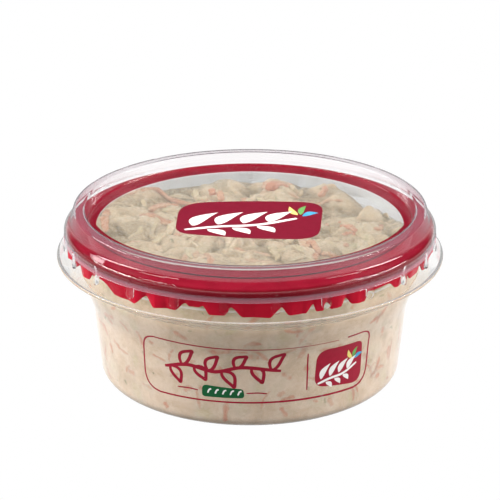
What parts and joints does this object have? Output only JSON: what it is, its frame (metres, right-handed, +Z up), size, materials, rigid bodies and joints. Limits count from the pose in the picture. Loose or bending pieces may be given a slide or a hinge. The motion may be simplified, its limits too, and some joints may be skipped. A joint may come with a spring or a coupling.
{
  "type": "tub of coleslaw",
  "caption": "Shut round clear tub of creamy coleslaw with a flared grip collar, a printed sealing film and a clear push-on lid.",
  "frame": {"origin": "centre of the flat base that the tub stands on", "axes": "+Z up along the tub's axis, towards the lid; -Y towards the side that carries the printed frame"},
  "size_m": [0.1144, 0.1144, 0.0517],
  "materials": {
    "clear_tub": "clear, glossy, moulded",
    "dressed_cabbage": "wet, creamy, lumpy",
    "printed_film": "glossy deep red print on clear film",
    "clear_lid": "clear, glossy, thermoformed"
  },
  "bodies": {
    "root": {"tub": "clear_tub", "coleslaw": "dressed_cabbage", "seal_film": "printed_film", "lid": "clear_lid"}
  },
  "joints": []
}
